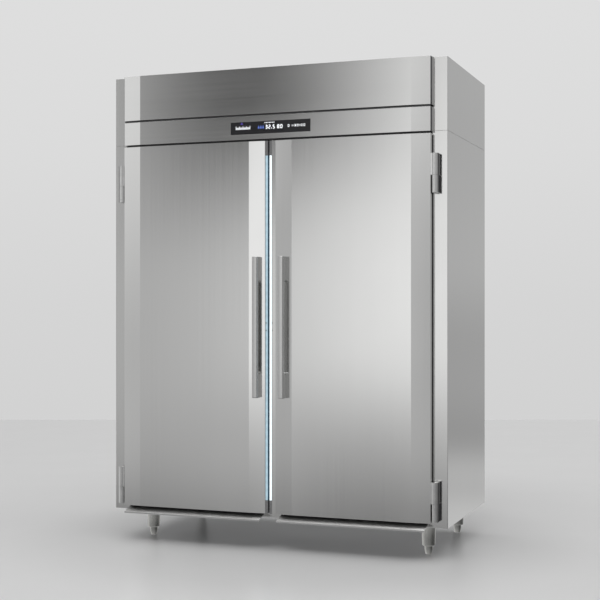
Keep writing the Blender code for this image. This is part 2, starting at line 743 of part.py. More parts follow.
    edge_end, lens_y = skin_in - GAP, -0.0285
    profile = [
        (edge_in, SKIN_BACK_Y),
        (edge_in, WING_Y),
        (edge_end, WING_Y),
        (edge_end, SKIN_BACK_Y),
    ]
    edge = prism(f"{name}_edge_profile", flip(profile), DOOR_Z0, DOOR_Z1, "Z", PROFILE)
    notch = box(
        f"cut_lens_{name}",
        (s * (edge_in - 0.01), s * lens_end),
        (WING_Y - 0.01, lens_y),
        (LENS_Z0, LENS_Z1),
        None,
    )
    boolean(edge, notch, "DIFFERENCE")
    parts.append(edge)
    lens = [
        (edge_in, lens_y - GAP),
        (edge_in, WING_Y + 0.0022),
        (edge_in + 0.0006, WING_Y + 0.0006),
        (edge_in + 0.0022, WING_Y),
        (lens_end - GAP, WING_Y),
        (lens_end - GAP, lens_y - GAP),
    ]
    z = (LENS_Z0 + GAP, LENS_Z1 - GAP)
    parts.append(prism(f"{name}_light_lens", flip(lens), *z, "Z", LENS))
    for ob in parts:
        pivot(ob, s * HINGE_X, HINGE_Y, 0.0)


lower_body()
upper_housing()
machine()
chamber()
legs()
drip_rails()
for hand in (1, -1):
    door(hand)
    hinge(hand, f"{side(hand)}_lower", HINGE_LOW)
    hinge(hand, f"{side(hand)}_upper", HINGE_HIGH)
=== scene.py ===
"""Looks of the two-section proofing cabinet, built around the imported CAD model."""

import math

import bmesh
import bpy
from mathutils import Matrix, Vector

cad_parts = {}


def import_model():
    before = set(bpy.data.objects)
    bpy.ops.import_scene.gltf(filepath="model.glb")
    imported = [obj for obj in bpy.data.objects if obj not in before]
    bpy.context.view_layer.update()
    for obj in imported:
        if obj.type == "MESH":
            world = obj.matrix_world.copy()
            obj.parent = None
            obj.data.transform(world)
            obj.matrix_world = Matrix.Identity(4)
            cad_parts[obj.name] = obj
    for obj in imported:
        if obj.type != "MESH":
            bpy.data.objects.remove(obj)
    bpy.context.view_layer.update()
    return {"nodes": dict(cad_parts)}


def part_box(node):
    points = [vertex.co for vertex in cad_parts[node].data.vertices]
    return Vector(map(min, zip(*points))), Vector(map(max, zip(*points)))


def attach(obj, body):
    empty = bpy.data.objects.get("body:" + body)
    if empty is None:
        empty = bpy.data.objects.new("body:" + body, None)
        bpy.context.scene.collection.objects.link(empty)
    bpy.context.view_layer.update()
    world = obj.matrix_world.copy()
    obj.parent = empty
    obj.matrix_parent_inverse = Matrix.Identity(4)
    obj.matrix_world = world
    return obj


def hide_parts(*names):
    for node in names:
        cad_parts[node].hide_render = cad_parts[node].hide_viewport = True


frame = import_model()
NODES = frame["nodes"]
DOORS = {"right": 1, "left": -1}

# ---------------------------------------------------------------- node trees


class Graph:
    """Short calls for building a node tree."""

    def __init__(self, tree):
        self.tree = tree
        self.tree.nodes.clear()

    def node(self, kind, inputs=None, **settings):
        made = self.tree.nodes.new(kind)
        for name, value in settings.items():
            setattr(made, name, value)
        for name, value in (inputs or {}).items():
            self.feed(made.inputs[name], value)
        return made

    def feed(self, socket, value):
        if isinstance(value, bpy.types.NodeSocket):
            self.tree.links.new(value, socket)
        else:
            socket.default_value = value

    def math(self, operation, a, b=0.0, c=0.0):
        return self.node("ShaderNodeMath", {0: a, 1: b, 2: c}, operation=operation).outputs[0]

    def spread(self, value, low, high, new_low, new_high):
        inputs = {"Value": value, "From Min": low, "From Max": high}
        inputs.update({"To Min": new_low, "To Max": new_high})
        made = self.node("ShaderNodeMapRange", inputs, interpolation_type="SMOOTHSTEP")
        return made.outputs["Result"]

    def ramp(self, value, stops):
        made = self.node("ShaderNodeValToRGB", {"Fac": value})
        band = made.color_ramp.elements
        band[0].position, band[1].position = stops[0][0], stops[-1][0]
        for position, _ in stops[1:-1]:
            band.new(position)
        for element, (_, grey) in zip(band, stops):
            colour = grey if isinstance(grey, tuple) else (grey, grey, grey)
            element.color = (*colour, 1.0)
        return made.outputs["Color"]

    def noise(self, at, scale, detail=2.0, roughness=0.5):
        inputs = {"Vector": at, "Scale": scale, "Detail": detail, "Roughness": roughness}
        return self.node("ShaderNodeTexNoise", inputs).outputs["Fac"]

    def mapped(self, scale, at=None):
        at = at or self.node("ShaderNodeTexCoord").outputs["Object"]
        return self.node("ShaderNodeMapping", {"Vector": at, "Scale": scale}).outputs["Vector"]

    def mix(self, factor, a, b):
        made = self.node("ShaderNodeMix", data_type="RGBA")
        for socket, value in zip((made.inputs[0], made.inputs[6], made.inputs[7]), (factor, a, b)):
            self.feed(socket, value)
        return made.outputs[2]


def shade(name, **constants):
    """A new material, its graph and its shader, with the shader's constant inputs set."""
    made = bpy.data.materials.new(name)
    made.use_nodes = True
    graph = Graph(made.node_tree)
    shader = graph.node("ShaderNodeBsdfPrincipled")
    for socket, value in constants.items():
        shader.inputs[socket.replace("_", " ")].default_value = value
    out = graph.node("ShaderNodeOutputMaterial")
    graph.tree.links.new(shader.outputs["BSDF"], out.inputs["Surface"])
    return made, graph, shader


def tint(colour, factor):
    return tuple(min(1.0, c * factor) for c in colour) + (1.0,)


# ---------------------------------------------------------------- materials

UP, ACROSS = "Z", "X"
GRAIN_SCALE = {"Z": (1.0, 1.0, 0.006), "X": (0.006, 1.0, 1.0), "Y": (1.0, 0.006, 1.0)}


def brushed(name, colour, roughness, grain=UP, pull=0.3, edge_highlight=1.0):
    """Brushed stainless steel: fine scratches along the grain, broad soft bands, handling marks and a painted
    highlight on rolled edges.
    """
    rotation = 0.25 if grain == UP else 0.0
    constants = {"Metallic": 1.0, "Anisotropic": pull, "Anisotropic_Rotation": rotation}
    made, g, shader = shade(name, **constants)
    at = g.mapped(GRAIN_SCALE[grain])
    fine = g.noise(at, 1400.0, 3.0, 0.65)
    streak = g.noise(at, 130.0, 3.0, 0.6)
    band = g.noise(at, 14.0, 2.0, 0.5)
    plain = g.node("ShaderNodeTexCoord").outputs["Object"]
    marks = g.noise(plain, 3.2, 4.0, 0.62)

    tone = g.math("MULTIPLY_ADD", fine, 0.30, g.math("MULTIPLY", streak, 0.45))
    tone = g.math("MULTIPLY_ADD", band, 0.25, tone)
    dark, light = tint(colour, 0.986), tint(colour, 1.014)
    surface = g.mix(g.spread(tone, 0.30, 0.70, 0.0, 1.0), dark, light)

    # Painted highlight: where the bevelled normal turns away from the face normal, the base colour is lifted
    # by 12 per cent.
    rounded = g.node("ShaderNodeBevel", {"Radius": 0.0016}, samples=4).outputs["Normal"]
    flat = g.node("ShaderNodeNewGeometry").outputs["Normal"]
    facing = g.node("ShaderNodeVectorMath", {0: rounded, 1: flat}, operation="DOT_PRODUCT")
    edge = g.spread(facing.outputs["Value"], 0.80, 0.995, edge_highlight, 0.0)
    surface = g.mix(edge, surface, tint(colour, 1.12))
    g.feed(shader.inputs["Base Color"], surface)

    rough = g.spread(g.math("MULTIPLY_ADD", marks, 0.5, g.math("MULTIPLY", streak, 0.5)),
                     0.32, 0.68, roughness * 0.93, roughness * 1.08)
    rough = g.math("MULTIPLY_ADD", edge, 0.05, rough)
    g.feed(shader.inputs["Roughness"], rough)
    g.feed(shader.inputs["Tangent"], g.node("ShaderNodeCombineXYZ", {"Z": 1.0}).outputs[0])
    height = g.math("MULTIPLY_ADD", fine, 0.6, g.math("MULTIPLY", streak, 0.4))
    inputs = {"Strength": 0.05, "Distance": 0.00002, "Height": height}
    g.feed(shader.inputs["Normal"], g.node("ShaderNodeBump", inputs).outputs["Normal"])
    return made


def cast(name, colour, roughness, grain=260.0):
    """Cast or turned metal with a faint satin texture."""
    made, g, shader = shade(name, Metallic=1.0)
    plain = g.node("ShaderNodeTexCoord").outputs["Object"]
    fine, broad = g.noise(plain, grain, 4.0, 0.6), g.noise(plain, 18.0, 3.0)
    blend = g.math("MULTIPLY_ADD", fine, 0.5, g.math("MULTIPLY", broad, 0.5))
    surface = g.mix(g.spread(blend, 0.35, 0.65, 0.0, 1.0), tint(colour, 0.92), tint(colour, 1.07))
    g.feed(shader.inputs["Base Color"], surface)
    g.feed(shader.inputs["Roughness"], g.spread(blend, 0.3, 0.7, roughness * 0.8, roughness * 1.2))
    inputs = {"Strength": 0.08, "Distance": 0.0001, "Height": fine}
    g.feed(shader.inputs["Normal"], g.node("ShaderNodeBump", inputs).outputs["Normal"])
    return made


def moulded(name, colour, roughness, grain=500.0, depth=0.00008, specular=0.5):
    """Moulded plastic, rubber, paint or foam: a fine pebble texture with a slightly uneven tone."""
    made, g, shader = shade(name, Metallic=0.0, Specular_IOR_Level=specular)
    plain = g.node("ShaderNodeTexCoord").outputs["Object"]
    fine, broad = g.noise(plain, grain, 4.0, 0.6), g.noise(plain, 9.0, 3.0)
    surface = g.mix(g.spread(broad, 0.3, 0.7, 0.0, 1.0), tint(colour, 0.86), tint(colour, 1.12))
    g.feed(shader.inputs["Base Color"], surface)
    low, high = roughness * 0.85, min(1.0, roughness * 1.15)
    g.feed(shader.inputs["Roughness"], g.spread(fine, 0.3, 0.7, low, high))
    inputs = {"Strength": 0.35, "Distance": depth, "Height": fine}
    g.feed(shader.inputs["Normal"], g.node("ShaderNodeBump", inputs).outputs["Normal"])
    return made


def foamed(name, colour):
    """Open cut polyurethane foam: small cells and a mottled tone."""
    made, g, shader = shade(name, Roughness=0.95, Specular_IOR_Level=0.2)
    plain = g.node("ShaderNodeTexCoord").outputs["Object"]
    cells = g.node("ShaderNodeTexVoronoi", {"Vector": plain, "Scale": 420.0}).outputs["Distance"]
    mottle = g.noise(plain, 22.0, 5.0, 0.7)
    surface = g.mix(g.spread(mottle, 0.3, 0.7, 0.0, 1.0), tint(colour, 0.8), tint(colour, 1.1))
    g.feed(shader.inputs["Base Color"], surface)
    inputs = {"Strength": 0.6, "Distance": 0.0006, "Height": cells}
    g.feed(shader.inputs["Normal"], g.node("ShaderNodeBump", inputs).outputs["Normal"])
    return made


def glowing(name, colour, strength):
    """Milky light lens with the row of diodes behind it just showing."""
    made, g, shader = shade(name, Roughness=0.32, Emission_Strength=strength)
    pitch = g.mapped((0.0, 0.0, 1.0))
    row = g.node("ShaderNodeTexWave", {"Vector": pitch, "Scale": 9.5, "Detail": 0.0}, bands_direction="Z")
    spots = g.spread(row.outputs["Fac"], 0.0, 1.0, 0.0, 1.0)
    g.feed(shader.inputs["Base Color"], g.mix(spots, tint(colour, 0.54), tint(colour, 0.60)))
    g.feed(shader.inputs["Emission Color"], g.mix(spots, tint(colour, 0.95), tint(colour, 1.0)))
    return made


def glassy(name, colour):
    """Black printed glass of the touch panel, with faint wiping marks in its gloss."""
    made, g, shader = shade(name, Specular_IOR_Level=0.32)
    plain = g.node("ShaderNodeTexCoord").outputs["Object"]
    wipes = g.noise(g.mapped((6.0, 1.0, 60.0), plain), 3.0, 4.0, 0.6)
    g.feed(shader.inputs["Base Color"], g.mix(wipes, tint(colour, 0.8), tint(colour, 1.3)))
    g.feed(shader.inputs["Roughness"], g.spread(wipes, 0.3, 0.7, 0.10, 0.22))
    return made


def printed(name, colour, strength=0.25):
    """Lit print on the touch panel."""
    made, g, shader = shade(name, Roughness=0.4, Emission_Strength=strength)
    plain = g.node("ShaderNodeTexCoord").outputs["Object"]
    dots = g.noise(plain, 900.0, 2.0)
    tone = g.mix(g.spread(dots, 0.3, 0.7, 0.0, 1.0), tint(colour, 0.85), tint(colour, 1.0))
    g.feed(shader.inputs["Base Color"], tone)
    g.feed(shader.inputs["Emission Color"], tone)
    return made


def heated(name, colour):
    """Heater sheath, tinted straw and blue along its length by heat."""
    made, g, shader = shade(name, Metallic=1.0)
    plain = g.node("ShaderNodeTexCoord").outputs["Object"]
    along = g.noise(plain, 7.0, 3.0)
    warm, cool = tint((0.34, 0.24, 0.15), 1.0), tint((0.16, 0.17, 0.22), 1.0)
    surface = g.mix(g.spread(along, 0.35, 0.65, 0.0, 1.0), warm, cool)
    g.feed(shader.inputs["Base Color"], g.mix(g.noise(plain, 300.0), surface, tint(colour, 1.0)))
    g.feed(shader.inputs["Roughness"], g.spread(along, 0.3, 0.7, 0.32, 0.52))
    return made


SKIN, BODY, LINER_TONE = (0.630, 0.630, 0.624), (0.605, 0.605, 0.598), (0.640, 0.640, 0.634)
SLOTS = {
    "stainless_skin": brushed("skin_upright_grain", SKIN, 0.125),
    "stainless_body": brushed("body_upright_grain", BODY, 0.140),
    "stainless_liner": brushed("liner_grain", LINER_TONE, 0.24),
    "stainless_duct": brushed("duct_grain", (0.60, 0.605, 0.60), 0.27),
    "rack_steel": brushed("rack_grain", (0.62, 0.62, 0.61), 0.26, grain="Y", pull=0.0),
    "hinge_cast": cast("hinge_satin_chrome", (0.60, 0.60, 0.595), 0.20),
    "leg_steel": cast("leg_satin_steel", (0.52, 0.52, 0.50), 0.22, grain=400.0),
    "pin_steel": cast("pin_ground_steel", (0.55, 0.55, 0.56), 0.22, grain=600.0),
    "foam": foamed("polyurethane_foam", (0.74, 0.62, 0.34)),
    "gasket_rubber": moulded("gasket_vinyl", (0.070, 0.070, 0.074), 0.55),
    "edge_plastic": moulded("edge_vinyl", (0.15, 0.15, 0.152), 0.38),
    "light_lens": glowing("lens_lit_right", (0.86, 0.96, 1.0), 1.05),
    "touch_panel": glassy("panel_black_glass", (0.018, 0.018, 0.020)),
    "motor_paint": moulded("motor_black_paint", (0.035, 0.037, 0.040), 0.42, grain=900.0),
    "fan_aluminium": cast("fan_rolled_aluminium", (0.74, 0.75, 0.76), 0.30, grain=500.0),
    "heater_sheath": heated("heater_sheath", (0.22, 0.20, 0.19)),
    "boiler_steel": brushed("boiler_grain", (0.56, 0.56, 0.55), 0.30, grain=ACROSS),
}
HEADER_STEEL = brushed("header_level_grain", SKIN, 0.120, grain=ACROSS)
DIM_LENS = glowing("lens_lit_left", (0.50, 0.70, 0.80), 0.42)
WHITE_PRINT = printed("print_white", (0.90, 0.92, 0.95), 0.75)
BLUE_PRINT = printed("print_blue", (0.09, 0.16, 0.55), 0.22)
VIOLET_PRINT = printed("print_violet", (0.06, 0.035, 0.34), 0.18)
SCREW_STEEL = cast("screw_bright_steel", (0.62, 0.62, 0.61), 0.24, grain=700.0)
# Near-black for the edge screw heads: painted shade standing in for their dark sockets.
SCREW_SOCKET_SHADE = moulded("dark_recess", (0.015, 0.015, 0.016), 0.7)
# Dark blue for the lip beside the left lens: painted shade of the gap between the doors, tinted as painted
# light from the lenses.
LENS_GAP_SHADE = moulded("lens_lip_painted_shade", (0.045, 0.090, 0.130), 0.50, specular=0.3)
RAIL_STEEL = brushed("rail_level_grain", (0.50, 0.50, 0.495), 0.34, grain=ACROSS)
HANDLE_STEEL = brushed("handle_upright_grain", (0.55, 0.55, 0.545), 0.22)
# Near-black hinge covers: their darkness is painted shade for the shaded sides of the hinges.
HINGE_SIDE_SHADE = moulded("hinge_cover_painted_shade", (0.030, 0.030, 0.032), 0.60, specular=0.12)
GALVANISED = cast("galvanised_sheet", (0.55, 0.56, 0.57), 0.38, grain=60.0)
# The base casing is kept far darker than the galvanised sheet: painted shade for the underside of the
# cabinet.
BASE_SHADE_STEEL = cast("galvanised_base_painted_shade", (0.22, 0.225, 0.23), 0.50, grain=60.0)

# ---------------------------------------------------------------- CAD nodes


def softening(name, edge_angle):
    """A modifier group that shades smooth across shallow edges and leaves sharp ones sharp."""
    group = bpy.data.node_groups.new(name, "GeometryNodeTree")
    group.interface.new_socket("Geometry", in_out="INPUT", socket_type="NodeSocketGeometry")
    group.interface.new_socket("Geometry", in_out="OUTPUT", socket_type="NodeSocketGeometry")
    g = Graph(group)
    source, sink = g.node("NodeGroupInput"), g.node("NodeGroupOutput")
    plain = g.node("GeometryNodeRemoveAttribute", {"Geometry": source.outputs[0], "Name": "custom_normal"})
    faces = g.node("GeometryNodeSetShadeSmooth", {"Geometry": plain.outputs[0]}, domain="FACE")
    angle = g.node("GeometryNodeInputMeshEdgeAngle").outputs["Unsigned Angle"]
    sharp = g.node("FunctionNodeCompare", {0: angle, 1: math.radians(edge_angle)}, operation="GREATER_THAN")
    inputs = {"Geometry": faces.outputs[0], "Selection": sharp.outputs[0], "Shade Smooth": False}
    edges = g.node("GeometryNodeSetShadeSmooth", inputs, domain="EDGE")
    g.feed(sink.inputs[0], edges.outputs[0])
    return group


SMOOTH_ROUND, SMOOTH_FLAT = softening("smooth_round", 32.0), softening("smooth_flat", 1.5)


def finish_edges(ob, width, segments=2, is_round=False):
    """Joins split vertices, drops coplanar edges, and rolls the sharp edges over."""
    weld = ob.modifiers.new("join", "WELD")
    weld.merge_threshold = 0.00001
    if not is_round:
        planar = ob.modifiers.new("planar", "DECIMATE")
        planar.decimate_type = "DISSOLVE"
        planar.angle_limit = math.radians(0.3)
    shade_group = ob.modifiers.new("smooth", "NODES")
    shade_group.node_group = SMOOTH_ROUND if is_round else SMOOTH_FLAT
    if width > 0.0:
        roll = ob.modifiers.new("rolled_edge", "BEVEL")
        roll.width = width
        roll.segments = segments
        roll.limit_method = "ANGLE"
        roll.angle_limit = math.radians(40.0)
        roll.use_clamp_overlap = True
        roll.harden_normals = True


TURNED = ("blower_motor", "fan_wheel", "heater_element", "leg_socket", "foot_", "hinge_")
WIDTHS = {"handle": 0.0030, "core": 0.0, "foam": 0.0, "gasket": 0.0012, "lens": 0.0006}


def dress_nodes():
    """Softened edges and a procedural look for every solid of the CAD model."""
    for name, ob in NODES.items():
        is_round = any(word in name for word in TURNED)
        width = next((w for word, w in WIDTHS.items() if word in name), 0.0004)
        finish_edges(ob, width, 3 if width > 0.001 else 2, is_round)
        old = ob.data.materials[0].name if ob.data.materials else ""
        slot = next((s for s in SLOTS if old.startswith(s)), None)
        if slot:
            ob.data.materials[0] = SLOTS[slot]
    for name in ("header_panel", "control_fascia"):
        NODES[name].data.materials[0] = HEADER_STEEL
    for name in ("left_drip_rail", "right_drip_rail"):
        NODES[name].data.materials[0] = RAIL_STEEL
    # The base casing gets the darkened galvanised look: painted shade under the cabinet.
    NODES["base_casing"].data.materials[0] = BASE_SHADE_STEEL
    for hand in DOORS:
        NODES[f"{hand}_door_handle"].data.materials[0] = HANDLE_STEEL
    NODES["left_door_light_lens"].data.materials[0] = DIM_LENS


# ---------------------------------------------------------------- shapes


def combined(shapes):
    """Several (points, faces) shapes as one."""
    verts, faces = [], []
    for points, loops in shapes:
        first = len(verts)
        verts += [tuple(p) for p in points]
        faces += [[first + i for i in loop] for loop in loops]
    return verts, faces


def lofted(loops, closed=False):
    """Equal loops joined in turn, capped at both ends unless they close on themselves."""
    n, count = len(loops[0]), len(loops)
    faces = [] if closed else [list(range(n)), list(range(n * (count - 1), n * count))]
    for k in range(count if closed else count - 1):
        near, far = k * n, (k + 1) % count * n
        for i in range(n):
            j = (i + 1) % n
            faces.append([near + i, near + j, far + j, far + i])
    return [p for loop in loops for p in loop], faces


def prism(outline, low, high, axis):
    """An outline extruded along an axis; its two coordinates are the other axes in order."""
    place = {
        "X": lambda a, b, c: (c, a, b),
        "Y": lambda a, b, c: (a, c, b),
        "Z": lambda a, b, c: (a, b, c),
    }[axis]
    return lofted([[place(a, b, c) for a, b in outline] for c in (low, high)])


def arc(cx, cy, r, start, end, steps):
    turn = [math.radians(start + (end - start) * i / steps) for i in range(steps + 1)]
    return [(cx + r * math.cos(t), cy + r * math.sin(t)) for t in turn]


def turned(profile, at, direction=(0.0, 0.0, 1.0), steps=24):
    """A body of (radius, height) points, from axis to axis, turned about a direction."""
    frame_of = Vector(direction).to_track_quat("Z", "Y").to_matrix()
    at = Vector(at)
    verts, rings = [], []
    for r, h in profile:
        count = steps if r > 0.0 else 1
        rings.append(list(range(len(verts), len(verts) + count)))
        for i in range(count):
            t = 2.0 * math.pi * i / steps
            verts.append(at + frame_of @ Vector((r * math.cos(t), r * math.sin(t), h)))
    faces = []
    for a, b in zip(rings, rings[1:]):
        for i in range(steps):
            j = (i + 1) % steps
            loop = [a[i % len(a)], a[j % len(a)], b[j % len(b)], b[i % len(b)]]
            faces.append(list(dict.fromkeys(loop)))
    return verts, faces


def piece(name, shape, look, body, width=0.0, smooth=False):
    """A visible piece in world coordinates that rides a body and wears the given material."""
    mesh = bpy.data.meshes.new(name)
    mesh.from_pydata([tuple(p) for p in shape[0]], [], shape[1])
    bm = bmesh.new()
    bm.from_mesh(mesh)
    bmesh.ops.recalc_face_normals(bm, faces=bm.faces)
    bm.to_mesh(mesh)
    bm.free()
    mesh.materials.append(look)
    ob = bpy.data.objects.new(name, mesh)
    bpy.context.scene.collection.objects.link(ob)
    finish_edges(ob, width, 2, smooth)
    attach(ob, body)
    return ob


def screw(at, direction, r=0.0035, proud=0.0004, sunk=0.0010):
    """A flush screw head with a round socket."""
    bore = r * 0.42
    profile = [(0.0, -sunk * 0.2), (bore, -sunk * 0.2), (bore, proud), (r * 0.82, proud)]
    return turned(profile + [(r, proud * 0.4), (r, -sunk), (0.0, -sunk)], at, direction, 20)


def evenly(low, high, count):
    return [low + (high - low) * i / (count - 1) for i in range(count)]


# ---------------------------------------------------------------- control panel

SEGMENTS = {
    "0": "abcdef",
    "1": "bc",
    "2": "abged",
    "3": "abgcd",
    "5": "afgcd",
    "8": "abcdefg",
}
INK = 0.00025
PANEL_MARGIN = 0.0080
READINGS = [  # text, right of the margin and above it, digit width and height, half a bar, step
    ("32.5", 0.166, 0.0205, 0.0080, 0.0150, 0.0019, 0.0140),
    ("80", 0.221, 0.0205, 0.0080, 0.0150, 0.0019, 0.0145),
    ("01:30:00", 0.270, 0.0245, 0.0070, 0.0082, 0.0013, 0.0122),
]
TICKS, TICK_X, TICK_Z, TICK_PITCH, TICK_HALF = 17, 0.0265, 0.021, 0.0041, 0.0011
TICK_LONG, TICK_SHORT, TICKS_PER_LONG = 0.0150, 0.0095, 4
DOTS, DOT_X, DOT_Z, DOT_PITCH, DOT_R = 7, 0.163, 0.0470, 0.0070, 0.0022
DROPS, DROP_X, DROP_Z, DROP_PITCH, DROP_R, DROP_TIP = 3, 0.1335, 0.0255, 0.0105, 0.0042, 0.0115
ARROW_X, ARROW_Z, ARROW_HALF, ARROW_FOOT, ARROW_TIP = 0.0535, 0.0475, 0.0070, 0.0045, 0.0055


def bar(p, q, half, y):
    """One pointed display bar from p to q in the plane of the glass."""
    along = (Vector(q) - Vector(p)).normalized() * half
    across = Vector((-along.y, along.x))
    p, q = Vector(p) + along * 0.25, Vector(q) - along * 0.25
    outline = [p, p + along + across, q - along + across, q, q - along - across, p + along - across]
    return prism([tuple(v) for v in outline], y - INK, y, "Y")


def digits(text, x, z, wide, tall, half, step, y):
    """Seven-bar digits, points and colons from x rightwards, with their foot at z."""
    shapes = []
    for sign in text:
        if sign in ".:":
            dots = [z + half] if sign == "." else [z + tall * 0.3, z + tall * 0.7]
            for at in dots:
                square = [(x - half, at - half), (x + half, at - half)]
                square += [(x + half, at + half), (x - half, at + half)]
                shapes.append(prism(square, y - INK, y, "Y"))
            x += step * 0.45
            continue
        low, mid, top, right = (x, z), (x, z + tall / 2), (x, z + tall), x + wide
        ends = {
            "a": (top, (right, top[1])),
            "b": ((right, mid[1]), (right, top[1])),
            "c": ((right, z), (right, mid[1])),
            "d": (low, (right, z)),
            "e": (low, mid),
            "f": (mid, top),
            "g": (mid, (right, mid[1])),
        }
        shapes += [bar(*ends[segment], half, y) for segment in SEGMENTS.get(sign, "")]
        x += step
    return shapes


def control_graphics():
    """Generic numbers, a scale and plain symbols behind the glass of the control panel."""
    low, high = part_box("control_panel")
    front, z0, x0 = low[1], low[2] + PANEL_MARGIN, low[0] + PANEL_MARGIN
    white = []
    for text, right, up, wide, tall, half, step in READINGS:
        white += digits(text, x0 + right, z0 + up, wide, tall, half, step, front)
    for i in range(TICKS):
        tall = TICK_LONG if i % TICKS_PER_LONG == 0 else TICK_SHORT
        x = x0 + TICK_X + TICK_PITCH * i
        tick = [(x - TICK_HALF, z0 + TICK_Z), (x + TICK_HALF, z0 + TICK_Z)]
        tick += [(x + TICK_HALF, z0 + TICK_Z + tall), (x - TICK_HALF, z0 + TICK_Z + tall)]
        white.append(prism(tick, front - INK, front, "Y"))
    for i in range(DOTS):
        spot = arc(x0 + DOT_X + DOT_PITCH * i, z0 + DOT_Z, DOT_R, 0, 350, 12)
        white.append(prism(spot, front - INK, front, "Y"))
    piece("control_panel_digits", combined(white), WHITE_PRINT, "cabinet")
    blue = []
    for i in range(DROPS):
        cx, cz = x0 + DROP_X + DROP_PITCH * i, z0 + DROP_Z
        drop = arc(cx, cz, DROP_R, 150, 390, 14) + [(cx, cz + DROP_TIP)]
        blue.append(prism(drop, front - INK, front, "Y"))
    cx, cz = x0 + ARROW_X, z0 + ARROW_Z
    arrow = [(cx - ARROW_HALF, cz - ARROW_FOOT), (cx + ARROW_HALF, cz - ARROW_FOOT), (cx, cz + ARROW_TIP)]
    arrow = prism(arrow, front - INK, front, "Y")
    piece("control_panel_drops", combined(blue), BLUE_PRINT, "cabinet")
    piece("control_panel_arrow", arrow, VIOLET_PRINT, "cabinet")


# ---------------------------------------------------------------- front trim

VINYL = SLOTS["gasket_rubber"]
HEM_R, HEM_UP = 0.0014, 0.0068


def front_trim():
    """Strips on the flanks of both front panels, the front ones near-black as painted shade, the seals below
    them, and the hems of the rails.
    """
    for node in ("header_panel", "control_fascia"):
        low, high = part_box(node)
        z0, z1 = low[2], high[2]
        front = low[1] + 0.0056
        back = front + 0.0190
        for hand, s in DOORS.items():
            edge = high[0] if s > 0 else low[0]
            # Painted shade: this near-black strip over the front of each flank stands in for the dark flank.
            outline = [(edge, back), (edge, front), (edge + s * 0.0008, front + 0.0006)]
            outline += [(edge + s * 0.0012, front + 0.0020), (edge + s * 0.0012, back)]
            shape = prism(outline, z0, z1, "Z")
            piece(f"{node}_{hand}_edge_strip", shape, VINYL, "cabinet", 0.0002)
            foot = high[1] - 0.0003
            outline = [(edge, foot), (edge, back + 0.0003), (edge + s * 0.0026, back + 0.0003)]
            outline += [(edge + s * 0.0034, back + 0.0010), (edge + s * 0.0056, foot)]
            shape = prism(outline, z0, z1, "Z")
            name = f"{node}_{hand}_corner_strip"
            piece(name, shape, SLOTS["stainless_skin"], "cabinet", 0.0002)
    low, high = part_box("header_panel")
    top, bottom = low[2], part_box("control_fascia")[1][2]
    middle, half = (top + bottom) / 2, (top - bottom) / 2
    nose = arc(low[1] + 0.0105, middle, half * 0.86, 90, 270, 10)
    outline = nose + [(low[1] + 0.0145, bottom + 0.0003), (low[1] + 0.0145, top - 0.0003)]
    seal = prism(outline, low[0] + 0.002, high[0] - 0.002, "X")
    piece("header_gap_seal", seal, VINYL, "cabinet")
    bottom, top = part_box("right_door_skin")[1][2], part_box("control_fascia")[0][2]
    face = high[1] + 0.0003
    outline = [(face, bottom + 0.0030), (face - 0.0200, bottom + 0.0030), (face - 0.0230, bottom + 0.0045)]
    outline += [(face - 0.0230, top - 0.0010), (face, top - 0.0010)]
    strip = prism(outline, low[0] + 0.004, high[0] - 0.004, "X")
    piece("door_head_strip", strip, VINYL, "cabinet", 0.0003)
    for hand in DOORS:
        low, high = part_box(f"{hand}_drip_rail")
        rim = arc(0.0, 0.0, HEM_R, 0, 345, 23)
        bead = [(low[1] + HEM_R + y, low[2] + HEM_UP + z) for y, z in rim]
        shape = prism(bead, low[0] + 0.0005, high[0] - 0.0005, "X")
        piece(f"{hand}_drip_rail_hem", shape, HANDLE_STEEL, "cabinet", 0.0, True)


# ---------------------------------------------------------------- hinges

COVER_REACH, COVER_TAIL = 0.0070, 0.0130

def hinge_details():
    """Near-black side covers, dark as painted shade on the hinge sides, and end caps: the lower half on the
    frame, the upper half on the door.
    """
    for hand, s in DOORS.items():
        for level in ("lower", "upper"):
            base, leaf = (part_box(f"{hand}_{level}_hinge_{half}") for half in ("base", "leaf"))
            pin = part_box(f"{hand}_{level}_hinge_pin")
            cx, cy = (pin[0][0] + pin[1][0]) / 2, (pin[0][1] + pin[1][1]) / 2
            outer = max(s * base[0][0], s * base[1][0])
            top_of_base = leaf[0][2] - 0.0012
            halves = {
                "frame": ("cabinet", base[0][2] + 0.0010, top_of_base, base[1][1] - 0.0010),
                "door": (f"{hand}_door", leaf[0][2] + 0.0008, leaf[1][2] - 0.0010, cy + COVER_REACH),
            }
            for part, (body, z0, z1, back) in halves.items():
                front = cy - COVER_REACH
                rim = [(s * outer, back), (s * outer, front), (s * (outer + 0.0004), front + 0.0003)]
                rim += [(s * (outer + 0.0007), front + 0.0012), (s * (outer + 0.0007), back)]
                name = f"{hand}_{level}_hinge_{part}_cover"
                if part == "door":
                    rim += [(s * (outer + 0.0007), cy + COVER_TAIL)]
                    rim += [(s * (outer - 0.0050), cy + COVER_TAIL)]
                # The cover's near-black colour paints the shade on the hinge side.
                piece(name, prism(rim, z0, z1, "Z"), HINGE_SIDE_SHADE, body, 0.0002)
            dome = [(0.0, 0.0016), (0.0035, 0.0014), (0.0062, 0.0008), (0.0072, 0.0), (0.0, 0.0)]
            caps = (
                (f"{hand}_door", leaf[1][2], (0.0, 0.0, 1.0), "top"),
                ("cabinet", base[0][2], (0.0, 0.0, -1.0), "bottom"),
            )
            for body, z, way, end in caps:
                shape = turned(dome, (cx, cy, z), way, 28)
                piece(f"{hand}_{level}_hinge_{end}_cap", shape, SCREW_STEEL, body, 0.0, True)


# ---------------------------------------------------------------- doors

